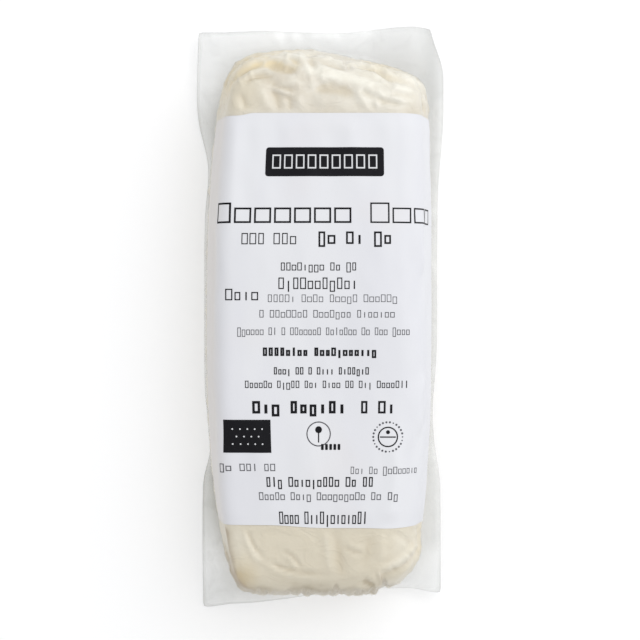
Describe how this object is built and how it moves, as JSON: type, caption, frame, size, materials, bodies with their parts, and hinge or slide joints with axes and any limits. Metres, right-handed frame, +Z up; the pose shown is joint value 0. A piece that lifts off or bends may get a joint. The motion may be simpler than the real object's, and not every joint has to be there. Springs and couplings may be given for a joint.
{
  "type": "vacuum-packed tofu block",
  "caption": "Block of tofu sealed in clear film with a thin wavy rim, with a paper label wrapped over its front face and both long walls.",
  "frame": {"origin": "middle of the footprint, on the surface that the pack lies on", "axes": "+Z up, out of the labelled front face; +Y along the block towards its head end; +X to the right of the label"},
  "size_m": [0.1048, 0.2452, 0.0522],
  "materials": {
    "clear_film": "clear glossy film over cream tofu",
    "label_paper": "matte white label paper with black and grey print"
  },
  "bodies": {
    "root": {"sealed_bag": "clear_film", "label": "label_paper"}
  },
  "joints": []
}
